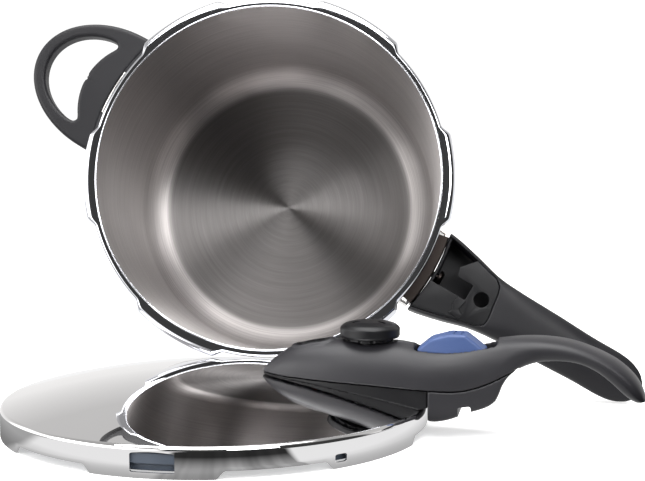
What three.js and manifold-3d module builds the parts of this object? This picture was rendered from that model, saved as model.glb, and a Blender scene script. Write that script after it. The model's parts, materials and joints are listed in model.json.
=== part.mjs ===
// Stovetop pressure cooker with its bayonet lid taken off.
// The pot lies on its side: its rim leans on the lid's dome, and the edge of its base and the end of
// its long handle touch the table. The lid lies flat in front of it with its handle to the right.
// Millimetres, +Z up, the table is z = 0, and the origin is the middle of the footprint.

import * as THREE from 'three';
import { mergeVertices } from 'three/addons/utils/BufferGeometryUtils.js';
import Module from 'manifold-3d';

const wasm = await Module();
wasm.setup();

// ---------------------------------------------------------------- driving dimensions

const GAP = 0.3;                       // between pieces that touch

// pot, in its own frame: z = 0 is the rim plane, +Z points out of the mouth
const POT_BORE = 110;                  // inner radius of a 22 cm pot
const POT_WALL = 1.2;
const POT_DEPTH = 178;                 // inside, rim to floor
const FLOOR_FLAT = 89;                 // radius of the flat part of the floor
const RIM_GAP = 114;                   // rim radius between the bayonet lobes
const RIM_LOBE = 119.6;                // rim radius on the six bayonet lobes
const RIM_ROLL = 4.6;                  // how far the rounded edge of a lobe comes down
const BASE_RADIUS = 111.5;
const BASE_BOTTOM = -186;
const BASE_EDGE = 4;                   // rounding of the base's lower edge

// lid, in its own frame: z = 0 is the bottom of the skirt, +X runs along the handle
const LID_RADIUS = 123.5;
const LID_SHEET = 1.2;
const SHOULDER_RADIUS = 121.5;
const SHOULDER_HEIGHT = 16.6;
const DOME_RISE = 15.6;
const SKIRT_STEP = 4.3;                // height of the skirt's edge between the bayonet tabs
const TAB_HALF = 16;                   // half the angle of each deep skirt section, in degrees
const LIP_HALF = 12;                   // half the angle of each turned-in lip
const LIP_RADIUS = 116.5;
const TAB_PHASE = 30;                  // the tabs stand 30 degrees from the handle

// stations along the lid handle
const KNOB_AT = 91;
const INDICATOR_AT = 60;
const SCREW_AT = 74;
const SLOT_START = 116.5;
const SLOT_END = 163.5;
const SLOT_HALF = 9.5;
const HANDLE_HALF = 19;                // half width of the lid handle over the valve

// pot handles
const POT_HANDLE_AT = -29.8;             // direction of the long handle, in degrees about the pot axis
const SIDE_HANDLE_AT = 151.2;
const HANDLE_ARC = 122;                // the handles' inner ends follow the pot at this radius
const HANDLE_TOP = -6;

// where the two halves lie
const LID_PLACE = new THREE.Vector3(-67.64, -78.32, 0);
const LID_HANDLE_YAW = -11;            // degrees about the lid's axis
const MOUTH_PLACE = new THREE.Vector3(-40.44, -0.82, 142.2);
const MOUTH_TILT = 10.2;                // the mouth faces this far above the horizontal
const MOUTH_YAW = -3;

const ROUND = 60;                      // segments of the large turned pieces

// ---------------------------------------------------------------- looks

const look = (color, roughness, metalness) =>
  new THREE.MeshStandardMaterial({ color, roughness, metalness });
const brushedSteel = look(0x8d8883, 0.32, 1);
const mirrorSteel = look(0xc9c8ca, 0.08, 1);
const darkSteel = look(0x4a423b, 0.45, 1);
const springSteel = look(0x9a9a9c, 0.3, 1);
const aluminium = look(0xb2b4b6, 0.4, 1);
const phenolic = look(0x2b2c30, 0.55, 0);
const blackPlastic = look(0x17181a, 0.5, 0);
const bluePlastic = look(0x4460a4, 0.42, 0);
const rubber = look(0x4c525c, 0.6, 0);
const redRubber = look(0xa8331f, 0.6, 0);

// ---------------------------------------------------------------- solids

const rad = THREE.MathUtils.degToRad;

// a closed three.js geometry as a manifold solid, turned right side out
function solid(geometry) {
  const bare = geometry.clone();
  bare.deleteAttribute('normal');
  bare.deleteAttribute('uv');
  const merged = mergeVertices(bare, 1e-3);
  const vertProperties = Float32Array.from(merged.attributes.position.array);
  const triVerts = Uint32Array.from(merged.index.array);
  let volume = 0;
  const corners = [new THREE.Vector3(), new THREE.Vector3(), new THREE.Vector3()];
  for (let i = 0; i < triVerts.length; i += 3) {
    corners.forEach((c, k) => c.fromArray(vertProperties, 3 * triVerts[i + k]));
    volume += corners[0].dot(corners[1].cross(corners[2]));
  }
  if (volume < 0) {
    for (let i = 0; i < triVerts.length; i += 3) {
      [triVerts[i], triVerts[i + 1]] = [triVerts[i + 1], triVerts[i]];
    }
  }
  return new wasm.Manifold(new wasm.Mesh({ numProp: 3, vertProperties, triVerts }));
}

const join = (...pieces) => pieces.reduce((sum, piece) => sum.add(piece));
const cut = (body, ...tools) => tools.reduce((rest, tool) => rest.subtract(tool), body);
const common = (...pieces) => pieces.reduce((rest, piece) => rest.intersect(piece));

// a solid spun about +Z from [radius, z] points
function turned(points, segments = ROUND, x = 0, y = 0) {
  const profile = points.map(([r, z]) => new THREE.Vector2(r, z));
  const geometry = new THREE.LatheGeometry(profile, segments);
  geometry.rotateX(Math.PI / 2);
  return solid(geometry.translate(x, y, 0));
}

const closed = (points) => [...points, points[0]];

function outline(points) {
  return new THREE.Shape(points.map(([x, y]) => new THREE.Vector2(x, y)));
}

// an outline in the XY plane, from z = low to z = high
function plate(points, low, high) {
  const options = { depth: high - low, bevelEnabled: false, curveSegments: 12 };
  return solid(new THREE.ExtrudeGeometry(outline(points), options).translate(0, 0, low));
}

// an outline in the XZ plane, as wide as 2 * half along Y
function upright(points, half) {
  const options = { depth: 2 * half, bevelEnabled: false, curveSegments: 12 };
  const geometry = new THREE.ExtrudeGeometry(outline(points), options);
  return solid(geometry.rotateX(Math.PI / 2).translate(0, half, 0));
}

function box(x0, x1, y0, y1, z0, z1) {
  const geometry = new THREE.BoxGeometry(x1 - x0, y1 - y0, z1 - z0);
  return solid(geometry.translate((x0 + x1) / 2, (y0 + y1) / 2, (z0 + z1) / 2));
}

function rod(radius, z0, z1, x = 0, y = 0, segments = 20) {
  const geometry = new THREE.CylinderGeometry(radius, radius, z1 - z0, segments);
  return solid(geometry.rotateX(Math.PI / 2).translate(x, y, (z0 + z1) / 2));
}

// a round bar along +X
function bar(radius, x0, x1, y, z, segments = 16) {
  const geometry = new THREE.CylinderGeometry(radius, radius, x1 - x0, segments);
  return solid(geometry.rotateZ(Math.PI / 2).translate((x0 + x1) / 2, y, z));
}

// the points of an arc about (cx, cy), angles in degrees
function arc(cx, cy, radius, from, to, steps) {
  const points = [];
  for (let i = 0; i <= steps; i += 1) {
    const a = rad(from + ((to - from) * i) / steps);
    points.push([cx + radius * Math.cos(a), cy + radius * Math.sin(a)]);
  }
  return points;
}

// a sector ring between two radii, centred on an angle
function sector(inner, outer, middle, half, low, high) {
  const steps = Math.ceil(half / 3);
  const out = arc(0, 0, outer, middle - half, middle + half, steps);
  const back = arc(0, 0, inner, middle + half, middle - half, steps);
  return plate([...out, ...back], low, high);
}

function mesh(name, body, material) {
  const { numProp, vertProperties, triVerts } = body.getMesh();
  const geometry = new THREE.BufferGeometry();
  const position = new Float32Array((vertProperties.length / numProp) * 3);
  for (let i = 0; i < position.length / 3; i += 1) {
    for (let k = 0; k < 3; k += 1) position[3 * i + k] = vertProperties[numProp * i + k];
  }
  geometry.setAttribute('position', new THREE.BufferAttribute(position, 3));
  geometry.setIndex(new THREE.BufferAttribute(Uint32Array.from(triVerts), 1));
  geometry.computeVertexNormals();
  const made = new THREE.Mesh(geometry, material);
  made.name = name;
  return made;
}

// a coil spring of round wire along +Z
function coil(radius, wire, z0, z1, turns, x = 0, y = 0) {
  class Helix extends THREE.Curve {
    getPoint(t, target = new THREE.Vector3()) {
      const a = 2 * Math.PI * turns * t;
      return target.set(x + radius * Math.cos(a), y + radius * Math.sin(a), z0 + (z1 - z0) * t);
    }
  }
  const section = new THREE.Shape(arc(0, 0, wire, 0, 288, 4).map(([a, b]) => new THREE.Vector2(a, b)));
  const options = { steps: turns * 8, bevelEnabled: false, extrudePath: new Helix() };
  return solid(new THREE.ExtrudeGeometry(section, options));
}

// ---------------------------------------------------------------- pot

// rim outline: six lobes with short ramps
function rimOutline(lobeRadius, gapRadius) {
  const points = [];
  const turn = (radius, angle) => points.push(...arc(0, 0, radius, angle, angle, 1).slice(1));
  for (let lobe = 0; lobe < 360; lobe += 60) {
    [-13, -6.5, 0, 6.5, 13].forEach((a) => turn(lobeRadius, lobe + a));
    turn((lobeRadius + gapRadius) / 2, lobe + 14.5);
    [16, 23, 30, 37, 44].forEach((a) => turn(gapRadius, lobe + a));
    turn((lobeRadius + gapRadius) / 2, lobe + 45.5);
  }
  return points;
}

// the rim's lobed flange: rounded down at its edge and hollow underneath the lobes
function rimFlange() {
  const rolled = join(
    plate(rimOutline(RIM_LOBE - 1.8, RIM_GAP - 0.6), -RIM_ROLL, 0),
    plate(rimOutline(RIM_LOBE - 0.6, RIM_GAP - 0.1), -RIM_ROLL, -0.9),
    plate(rimOutline(RIM_LOBE, RIM_GAP), -RIM_ROLL, -2.2),
  );
  const under = cut(
    plate(rimOutline(RIM_LOBE - 1.4, RIM_GAP - 3), -RIM_ROLL - 1, -1.8),
    rod(RIM_GAP - 1.2, -RIM_ROLL - 2, 1, 0, 0, ROUND),
  );
  const groove = turned([
    [0, -RIM_ROLL - 1], [POT_BORE + 0.6, -RIM_ROLL - 1], [POT_BORE + 0.6, -1.6],
    [POT_BORE + 2.4, -1.6], [POT_BORE + 2.4, 1], [0, 1],
  ]);
  return cut(rolled, under, groove);
}

function potBody() {
  const fillet = POT_BORE - FLOOR_FLAT;
  const bend = -POT_DEPTH + fillet;
  const shell = turned([
    [0, -POT_DEPTH],
    ...arc(FLOOR_FLAT, bend, fillet, -90, 0, 6),
    [POT_BORE, 0.8],
    [POT_BORE + 0.5, 1.2],
    [POT_BORE + POT_WALL, 1.2],
    ...arc(FLOOR_FLAT, bend, fillet + POT_WALL, 0, -90, 6),
    [0, -POT_DEPTH - POT_WALL],
  ]);
  return mesh('pot_body', join(shell, rimFlange()), brushedSteel);
}

// aluminium plate that spreads the heat
function baseCore() {
  const top = -POT_DEPTH - POT_WALL - GAP;
  return mesh('base_core', rod(FLOOR_FLAT - 0.2, BASE_BOTTOM + 1.4, top, 0, 0, ROUND), aluminium);
}

// steel cap around the core, flush with the pot wall
function baseCap() {
  const bend = -POT_DEPTH + POT_BORE - FLOOR_FLAT;
  const hug = POT_BORE - FLOOR_FLAT + POT_WALL + 2 * GAP;
  const start = THREE.MathUtils.radToDeg(Math.asin(9 / hug));
  const seat = -POT_DEPTH - POT_WALL - GAP;
  return mesh('base_cap', turned([
    [0, BASE_BOTTOM],
    ...arc(BASE_RADIUS - BASE_EDGE, BASE_BOTTOM + BASE_EDGE, BASE_EDGE, -90, 0, 3),
    [BASE_RADIUS, bend - 9],
    ...arc(FLOOR_FLAT, bend, hug, -start, -88, 4),
    [FLOOR_FLAT + 0.1, seat],
    [FLOOR_FLAT + 0.1, BASE_BOTTOM + 1.1],
    [0, BASE_BOTTOM + 1.1],
  ]), darkSteel);
}

// ---------------------------------------------------------------- long handle of the pot

// half width of the long handle at a distance from the pot axis
function longHandleHalf(r) {
  const stations = [[116, 28], [141, 23.3], [163, 18.6], [182, 17.2], [222, 15.4], [252, 14.6]];
  for (let i = 1; i < stations.length; i += 1) {
    const [r0, h0] = stations[i - 1];
    const [r1, h1] = stations[i];
    if (r <= r1) return h0 + ((h1 - h0) * (r - r0)) / (r1 - r0);
  }
  return 14.6;
}

const GRIP_END = 256;                  // centre of the rounded end of the long handle

function longHandleOutline(inset) {
  const side = [114, 128, 141, 152, 163, 182, 205, 230, GRIP_END];
  const upper = side.map((r) => [r, longHandleHalf(r) - inset]);
  const end = arc(GRIP_END, 0, 14.6 - inset, 80, -80, 10);
  const lower = side.map((r) => [r, -longHandleHalf(r) + inset]).reverse();
  return [...upper, ...end, ...lower];
}

const POCKET_END = 163;
const POCKET_FLOOR = -31;

function potHandle() {
  const profile = [
    [110, HANDLE_TOP], [160, HANDLE_TOP], [176, -4.2], [200, -3.6], [228, -4.4], [250, -6.4],
    [266, -9], [272, -11], [268, -13.4], [250, -18], [225, -22.5], [200, -22.5], [180, -26],
    [160, -35], [146, -41], [130, -44], [110, -44],
  ];
  const body = common(plate(longHandleOutline(0), -60, 10), upright(profile, 40));
  const pocket = common(
    plate(longHandleOutline(2.6), POCKET_FLOOR, 10),
    box(100, POCKET_END, -40, 40, POCKET_FLOOR, 10),
  );
  const arcCut = rod(HANDLE_ARC, -60, 10, 0, 0, ROUND);
  const lightening = common(
    plate(longHandleOutline(5), -40, 0),
    upright([[172, -40], [172, -20], [186, -14], [225, -14], [244, -16], [246, -40]], 40),
  );
  const wall = rod(HANDLE_ARC + 3, POCKET_FLOOR, 10, 0, 0, ROUND);
  const endWall = common(box(110, 140, -40, 40, POCKET_FLOOR, HANDLE_TOP - 4.6), wall);
  const hollow = cut(pocket, endWall);
  const screwHole = bar(3.4, 115, 130, 0, -24);
  return mesh('pot_handle', cut(body, hollow, arcCut, lightening, screwHole), phenolic);
}

// plate inside the top of the handle, with the opening that takes the lid's lock bolt
function potHandleInsert() {
  const blank = common(
    plate(longHandleOutline(2.6 + GAP), HANDLE_TOP - 4, HANDLE_TOP - 1),
    box(100, POCKET_END - GAP, -40, 40, -20, 10),
  );
  const opening = plate([
    [124.5, -5.2], [147.6, -5.2], [147.6, 5.4], [136, 5.4], [135, 11], [144, 21.2], [124.5, 21.2],
  ], -20, 10);
  const hole = rod(5, -20, 10, 156.4, 0);
  const arcCut = rod(HANDLE_ARC + 0.4, -20, 10, 0, 0, ROUND);
  const rib = common(
    plate([[146.4, -5.2], [147.6, -5.2], [147.6, -13], [151, -15], [150, -16.5], [146.4, -14]],
      HANDLE_TOP - 2, HANDLE_TOP - 0.4),
    plate(longHandleOutline(2.6 + GAP), -20, 10),
  );
  return mesh('pot_handle_insert', join(cut(blank, opening, hole, arcCut), rib), blackPlastic);
}

// steel channel welded to the pot wall
function handleBracket(name, half, reach, low, high) {
  const outer = common(
    box(100, 130, -half, half, low, high),
    rod(reach, low - 1, high + 1, 0, 0, ROUND),
  );
  const inner = common(
    box(90, 130, -half + 1.8, half - 1.8, low - 1, high + 1),
    rod(reach - 2, low - 1, high + 1, 0, 0, ROUND),
  );
  const wall = rod(POT_BORE + POT_WALL + GAP, low - 1, high + 1, 0, 0, ROUND);
  const hole = bar(2.4, 90, 140, 0, (low + high) / 2);
  return mesh(name, cut(outer, inner, wall, hole), mirrorSteel);
}

// curved steel band that keeps the flame off the end of the handle, with a lip over the bracket
function flameGuard() {
  const ring = turned(closed([
    [HANDLE_ARC - 1.6, -42], [HANDLE_ARC - GAP, -42],
    [HANDLE_ARC - GAP, -7], [HANDLE_ARC - 8, -7], [HANDLE_ARC - 8, -8], [HANDLE_ARC - 1.6, -8],
  ]));
  const around = cut(ring, bar(3.4, 100, 140, 0, -24));
  return mesh('flame_guard', common(around, box(100, 140, -24.4, 24.4, -60, 10)), darkSteel);
}

function potHandleScrew() {
  const head = bar(5, 125.4, 129, 0, -24);
  const shank = bar(2, 113, 126, 0, -24);
  const slot = box(127.8, 130, -6, 6, -24.6, -23.4);
  return mesh('pot_handle_screw', cut(join(head, shank), slot), springSteel);
}

// ---------------------------------------------------------------- side handle of the pot

function sideHandle() {
  const outer = [];
  for (let i = 0; i <= 24; i += 1) {
    const a = rad(-90 + (180 * i) / 24);
    outer.push([118 + 56 * Math.cos(a), 41.5 * Math.sin(a)]);
  }
  const body = plate([[110, -41.5], ...outer, [110, 41.5]], -22, -10);
  const window = [];
  for (let i = 0; i <= 16; i += 1) {
    const a = rad(-90 + (180 * i) / 16);
    window.push([130.5 + 35 * Math.cos(a), 29.6 * Math.sin(a)]);
  }
  const bulge = arc(95.1, 0, 43.3, 36, -36, 10);
  const opening = plate([...window, ...bulge], -30, 0);
  const hole = bar(2.8, 100, 140, 0, -16);
  const seat = bar(5.4, 133, 145, 0, -16);
  const arcCut = rod(HANDLE_ARC - 3, -30, 0, 0, 0, ROUND);
  return mesh('side_handle', cut(body, opening, hole, seat, arcCut), phenolic);
}

function sideHandleScrew() {
  const head = bar(5, 133.3, 135.7, 0, -16);
  const shank = bar(2, 113.5, 134, 0, -16);
  return mesh('side_handle_screw', join(head, shank), springSteel);
}

// ---------------------------------------------------------------- lid

const domeHeight = (r) => SHOULDER_HEIGHT + DOME_RISE * (1 - (r / SHOULDER_RADIUS) ** 2);

function domePoints(from, to, steps, lift) {
  const points = [];
  for (let i = 0; i <= steps; i += 1) {
    const r = from + ((to - from) * i) / steps;
    points.push([r, domeHeight(r) + lift]);
  }
  return points;
}

function lidShell() {
  const inside = LID_RADIUS - LID_SHEET;
  let shell = turned([
    ...domePoints(0, SHOULDER_RADIUS, 6, 0),
    [LID_RADIUS, SHOULDER_HEIGHT - 2.4],
    [LID_RADIUS, 0],
    [inside, 0],
    [inside, SHOULDER_HEIGHT - 3],
    ...domePoints(0, SHOULDER_RADIUS - 1, 6, -LID_SHEET).reverse(),
  ], 72);
  const tools = [];
  for (let k = 0; k < 6; k += 1) {
    tools.push(sector(118, 130, k * 60, 30 - TAB_HALF, -1, SKIRT_STEP));
  }
  const window = TAB_PHASE - 120;
  tools.push(sector(118, 130, window, 4.6, 3.2, 12.8));
  tools.push(sector(118, 130, -43.5, 1.6, 3.4, 7.4));
  tools.push(rod(5.5, 0, 60, KNOB_AT), rod(4.5, 0, 60, INDICATOR_AT), rod(2.6, 0, 60, 40));
  tools.push(rod(2.6, 0, 60, SCREW_AT), rod(7, 0, 60, 60, 62));
  shell = cut(shell, ...tools);
  const lips = [];
  for (let k = 0; k < 6; k += 1) {
    lips.push(sector(LIP_RADIUS, inside + 0.4, TAB_PHASE + 60 * k, LIP_HALF, 0, 1.2));
  }
  return mesh('lid_shell', join(shell, ...lips), mirrorSteel);
}

function gasket() {
  return mesh('gasket', turned(closed([
    [108.5, 7.2], [112, 5.6], [118, 5.4], [121.9, 6.2], [121.9, 12.4], [119, 14.4],
    [113, 14.4], [112, 12.6], [117.6, 11.8], [117.6, 9.4],
  ])), rubber);
}

// ---------------------------------------------------------------- handle of the lid

// half width of the lid handle at a distance from the lid's axis
function lidHandleHalf(r) {
  const stations = [[29, 3], [33, 7.5], [42, 12], [60, 16.5], [80, HANDLE_HALF], [112, HANDLE_HALF],
    [135, 17.6], [160, 15], [185, 14.2], [222, 15.4], [236, 14], [242, 9.5], [245, 3]];
  for (let i = 1; i < stations.length; i += 1) {
    const [r0, h0] = stations[i - 1];
    const [r1, h1] = stations[i];
    if (r <= r1) return h0 + ((h1 - h0) * (r - r0)) / (r1 - r0);
  }
  return 3;
}

function lidHandleOutline(inset) {
  const along = [29, 33, 42, 60, 80, 112, 135, 160, 185, 222, 236, 242, 245];
  const upper = along.map((r) => [r, Math.max(lidHandleHalf(r) - inset, 0.4)]);
  return [...upper, ...upper.map(([r, h]) => [r, -h]).reverse()];
}

const SEAM = [[31, 32.2], [60, 31], [92, 29.6], [126, 27.4], [142, 27.4], [158, 32], [171, 38.4]];

function lidHandleTop() {
  const profile = [
    ...SEAM.map(([r, z]) => [r, z + GAP]),
    [182, 42.4], [198, 43], [213, 41], [225, 34.4], [235, 26.6], [243, 25.6],
    [244, 29], [238, 38], [230, 46], [219, 51.6], [198, 56.8], [176, 56.8], [163, 55],
    [148, 51.6], [134, 49.6], [122, 50.4], [108, 52.2], [71, 52.2], [50, 48.6], [36, 41], [30, 35.4],
  ];
  const body = common(plate(lidHandleOutline(0), 0, 80), upright(profile, 40));
  const inside = common(
    plate(lidHandleOutline(3), 0, 80),
    upright([[50, 20], [50, 39], [76, 43], [112, 43], [118, 40], [150, 40], [160, 36], [160, 20]], 40),
  );
  const oval = plate([...arc(56, 0, 4.4, 90, 270, 8), ...arc(65, 0, 4.4, -90, 90, 8)], 47.4, 80);
  const tools = [
    inside,
    rod(9.2, 20, 80, KNOB_AT, 0, 32),
    rod(2.8, 20, 80, INDICATOR_AT),
    rod(2.3, 20, 40.6, 40),
    oval,
    box(SLOT_START, SLOT_END, -SLOT_HALF, SLOT_HALF, 44, 80),
    box(128.5, 142, -4.6, 4.6, 20, 60),
  ];
  return mesh('lid_handle_top', cut(body, ...tools), phenolic);
}

// lower moulding that lies along the dome
function lidHandleBase() {
  const below = domePoints(34, 118, 7, 0.5);
  const profile = [[32, 32], ...below, [125.6, 17.6], [125.6, 27.1], [92, 29.3], [60, 30.7]];
  const body = common(plate(lidHandleOutline(1.4), 0, 80), upright(profile, 40));
  const floor = common(
    plate(lidHandleOutline(4), 0, 80),
    upright([[70, 28.2], [70, 60], [128, 60], [128, 24]], 40),
  );
  const tools = [
    floor,
    rod(10.5, 0, 80, KNOB_AT),
    rod(5.4, 0, 80, INDICATOR_AT),
    rod(2.9, 0, 80, 40),
    rod(2.9, 0, 80, SCREW_AT),
    box(102, 127, -7.6, 7.6, 0, 26),
  ];
  return mesh('lid_handle_base', cut(body, ...tools), blackPlastic);
}

// outer foot that stands over the skirt and carries the lock
function lidHandleFoot() {
  const profile = [
    [126, 26.9], [126, 9.4], [135, 10.4], [142, 11.8], [142, 18.6], [149.5, 19.6], [149.5, 16.6],
    [156, 17.4], [161.5, 20.4], [166.5, 30.4], [171, 37.9], [158, 31.5], [142, 26.9],
  ];
  const body = common(plate(lidHandleOutline(0), 0, 80), upright(profile, 40));
  return mesh('lid_handle_foot', cut(body, box(128.5, 141, -4.6, 4.6, 0, 60)), phenolic);
}

// steel strap that ties the handle to the lid
function lidStrap() {
  const strap = common(
    upright([[104, 22.6], [118, 19.4], [124.6, 19.4], [124.6, 25.4], [123, 25.4], [123, 22.2],
      [104, 24.6]], 7),
    plate([[100, -7], [130, -7], [130, 7], [100, 7]], 0, 60),
  );
  return mesh('lid_strap', cut(strap, rod(2.4, 0, 60, 112)), springSteel);
}

// a screw up through the lid into the handle, with its head inside the lid
function lidScrew(name, at, top) {
  const under = domeHeight(at) - LID_SHEET - 1.2;
  const head = rod(4.2, under - 2.4, under, at);
  return mesh(name, join(head, rod(2, under - 0.5, top, at)), springSteel);
}

// ---------------------------------------------------------------- lock

function lockSlider() {
  const profile = [
    [119, 44.4], [119, 51], [126, 55.4], [137, 57.8], [146, 58], [152, 53.4], [157.2, 49.6],
    [157.2, 44.4],
  ];
  const button = common(upright(profile, 20), box(100, 170, -SLOT_HALF + 0.3, SLOT_HALF - 0.3, 0, 80));
  const stem = box(129.2, 134.6, -4.2, 4.2, 31.4, 45);
  return mesh('lock_slider', join(button, stem), bluePlastic);
}

function lockBolt() {
  const body = box(129.2, 133.4, -4.2, 4.2, 11.4, 31);
  return mesh('lock_bolt', body, springSteel);
}

function lockSpring() {
  const spring = coil(1.9, 0.4, 0, 5.9, 4);
  const made = mesh('lock_spring', spring, springSteel);
  made.rotation.y = Math.PI / 2;
  made.position.set(134.2, 0, 22);
  return made;
}

// ---------------------------------------------------------------- valve and pressure indicator

function valveSeat() {
  const top = domeHeight(KNOB_AT);
  const profile = [
    [2, 10.6], [5, 10.6], [5, top + 1.9], [8, top + 1.9], [8, top + 4], [5.4, top + 4], [5.4, 34],
    [4.4, 36], [2, 36],
  ];
  return mesh('valve_seat', turned(closed(profile), 24, KNOB_AT), mirrorSteel);
}

function valveNut() {
  const under = domeHeight(KNOB_AT) - 3.4;
  const hexagon = arc(KNOB_AT, 0, 9.4, 0, 300, 5);
  const nut = cut(plate(hexagon, under - 4.2, under), rod(5.3, 0, 60, KNOB_AT));
  return mesh('valve_nut', nut, springSteel);
}

// perforated cap that keeps food out of the valve
function valveFilter() {
  let cap = turned([
    [0, 6.8], [6.6, 6.8], [7.4, 7.6], [7.4, 14.6], [5.4, 14.6], [5.4, 8.6], [0, 8.6],
  ], 24, KNOB_AT);
  for (let k = 0; k < 6; k += 1) {
    const a = rad(60 * k);
    cap = cap.subtract(rod(0.9, 5, 10, KNOB_AT + 3.4 * Math.cos(a), 3.4 * Math.sin(a), 6));
  }
  return mesh('valve_filter', cap, mirrorSteel);
}

function valvePlug() {
  const profile = [
    [0, 34.4], [1.5, 35.4], [1.6, 36.3], [5.6, 36.3], [5.6, 40], [2.4, 40], [2.4, 44], [0, 44],
  ];
  return mesh('valve_plug', turned(profile, 24, KNOB_AT), springSteel);
}

function valveSpring() {
  return mesh('valve_spring', coil(4.1, 0.5, 40.9, 54.4, 5, KNOB_AT), springSteel);
}

function valveKnob() {
  let knob = turned([
    [0, 55.4], [6.2, 55.4], [6.2, 37.4], [8.6, 37.4], [8.6, 52.4], [13.6, 52.6], [13.6, 55.6],
    [16.2, 55.8], [17, 56.8], [17, 60], [15.6, 61.6], [9, 63.4], [0, 64],
  ], 32, KNOB_AT);
  for (let k = 0; k < 8; k += 1) {
    const a = rad(45 * k + 22.5);
    const notch = rod(1.7, 50, 55.6, KNOB_AT + 13.9 * Math.cos(a), 13.9 * Math.sin(a), 8);
    knob = knob.subtract(notch);
  }
  for (let k = 0; k < 3; k += 1) {
    const a = rad(120 * k + 90);
    knob = knob.subtract(rod(1.3, 61.8, 70, KNOB_AT + 6 * Math.cos(a), 6 * Math.sin(a), 8));
  }
  return mesh('valve_knob', knob, blackPlastic);
}

function indicatorSeal() {
  const top = domeHeight(INDICATOR_AT);
  return mesh('indicator_seal', turned(closed([
    [2.4, top - 4], [6.4, top - 4], [6.4, top - 2.5], [4.1, top - 2.4], [4.1, top + 1.1],
    [5, top + 1.2], [5, top + 2], [2.4, top + 2],
  ]), 24, INDICATOR_AT), redRubber);
}

function indicatorPin() {
  const top = domeHeight(INDICATOR_AT);
  const profile = [
    [0, top - 11], [4, top - 11], [4, top - 9.6], [2, top - 9.4], [2, 44.8], [1.4, 45.6], [0, 45.6],
  ];
  return mesh('indicator_pin', turned(profile, 24, INDICATOR_AT), redRubber);
}

// overpressure plug in a hole of its own, beside the handle
function safetyPlug() {
  const top = domeHeight(Math.hypot(60, 62));
  const profile = [
    [0, top - 6], [9.4, top - 6], [9.4, top - 4], [6.6, top - 3.6], [6.6, top + 1.7], [8.4, top + 1.9],
    [8.4, top + 2.6], [7, top + 3.6], [0, top + 3.8],
  ];
  return mesh('safety_plug', turned(profile, 24, 60, 62), rubber);
}

// ---------------------------------------------------------------- assembly

function longHandleGroup() {
  const group = new THREE.Group();
  group.rotation.z = rad(POT_HANDLE_AT);
  group.add(
    potHandle(), potHandleInsert(), flameGuard(), potHandleScrew(),
    handleBracket('pot_handle_bracket', 26.4, HANDLE_ARC - 1.9, -40, -8.4),
  );
  return group;
}

function sideHandleGroup() {
  const group = new THREE.Group();
  group.rotation.z = rad(SIDE_HANDLE_AT);
  group.add(
    sideHandle(),
    sideHandleScrew(),
    handleBracket('side_handle_bracket', 15, HANDLE_ARC - 3.5, -22, -10),
  );
  return group;
}

function pot() {
  const group = new THREE.Group();
  const out = new THREE.Vector3(
    Math.sin(rad(MOUTH_YAW)) * Math.cos(rad(MOUTH_TILT)),
    -Math.cos(rad(MOUTH_YAW)) * Math.cos(rad(MOUTH_TILT)),
    Math.sin(rad(MOUTH_TILT)),
  );
  const right = new THREE.Vector3(Math.cos(rad(MOUTH_YAW)), Math.sin(rad(MOUTH_YAW)), 0);
  const up = new THREE.Vector3().crossVectors(out, right);
  group.quaternion.setFromRotationMatrix(new THREE.Matrix4().makeBasis(right, up, out));
  group.position.copy(MOUTH_PLACE);
  group.add(potBody(), baseCore(), baseCap(), longHandleGroup(), sideHandleGroup());
  return group;
}

function lid() {
  const group = new THREE.Group();
  group.rotation.z = rad(LID_HANDLE_YAW);
  group.position.copy(LID_PLACE);
  group.add(
    lidShell(), gasket(), lidHandleTop(), lidHandleBase(), lidHandleFoot(), lidStrap(),
    lidScrew('lid_screw_inner', 40, 40), lidScrew('lid_screw_outer', SCREW_AT, 31),
    lockSlider(), lockBolt(), lockSpring(),
    valveSeat(), valveNut(), valveFilter(), valvePlug(), valveSpring(), valveKnob(),
    indicatorSeal(), indicatorPin(), safetyPlug(),
  );
  return group;
}

const cooker = new THREE.Group();
cooker.add(pot(), lid());

export default cooker;
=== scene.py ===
"""Looks for a stovetop pressure cooker: the pot lies on its side behind its mirror-polished lid.

Every shape is drawn in millimetres in the pot's frame or in the lid's frame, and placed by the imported
record, so that each piece lands on the CAD part that it stands for.
"""
import json
import math

import bmesh
import bpy
import numpy as np
from mathutils import Matrix, Vector


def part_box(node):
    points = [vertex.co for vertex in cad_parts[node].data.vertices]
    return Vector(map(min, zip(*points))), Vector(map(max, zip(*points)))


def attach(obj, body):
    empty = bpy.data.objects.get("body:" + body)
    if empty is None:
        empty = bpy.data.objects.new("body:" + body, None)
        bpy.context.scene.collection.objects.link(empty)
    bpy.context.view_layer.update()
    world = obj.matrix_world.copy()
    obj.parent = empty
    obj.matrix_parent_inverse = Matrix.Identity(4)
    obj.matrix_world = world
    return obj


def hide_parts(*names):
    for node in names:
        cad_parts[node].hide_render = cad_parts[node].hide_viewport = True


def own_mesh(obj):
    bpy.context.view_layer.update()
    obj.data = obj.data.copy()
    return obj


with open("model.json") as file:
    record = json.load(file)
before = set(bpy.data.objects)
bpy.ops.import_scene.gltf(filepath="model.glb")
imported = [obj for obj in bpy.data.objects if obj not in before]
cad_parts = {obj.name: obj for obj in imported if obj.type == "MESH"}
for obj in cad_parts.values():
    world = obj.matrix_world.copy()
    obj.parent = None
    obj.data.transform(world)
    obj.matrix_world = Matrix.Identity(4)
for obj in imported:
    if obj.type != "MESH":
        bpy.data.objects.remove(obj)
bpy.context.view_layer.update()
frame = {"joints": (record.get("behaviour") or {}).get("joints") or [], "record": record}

MM = 0.001

# ---------------- the two frames

joints = {joint["name"]: joint for joint in frame["joints"]}
mounts = {mount["name"]: mount for mount in frame["record"]["mounts"]}

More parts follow.
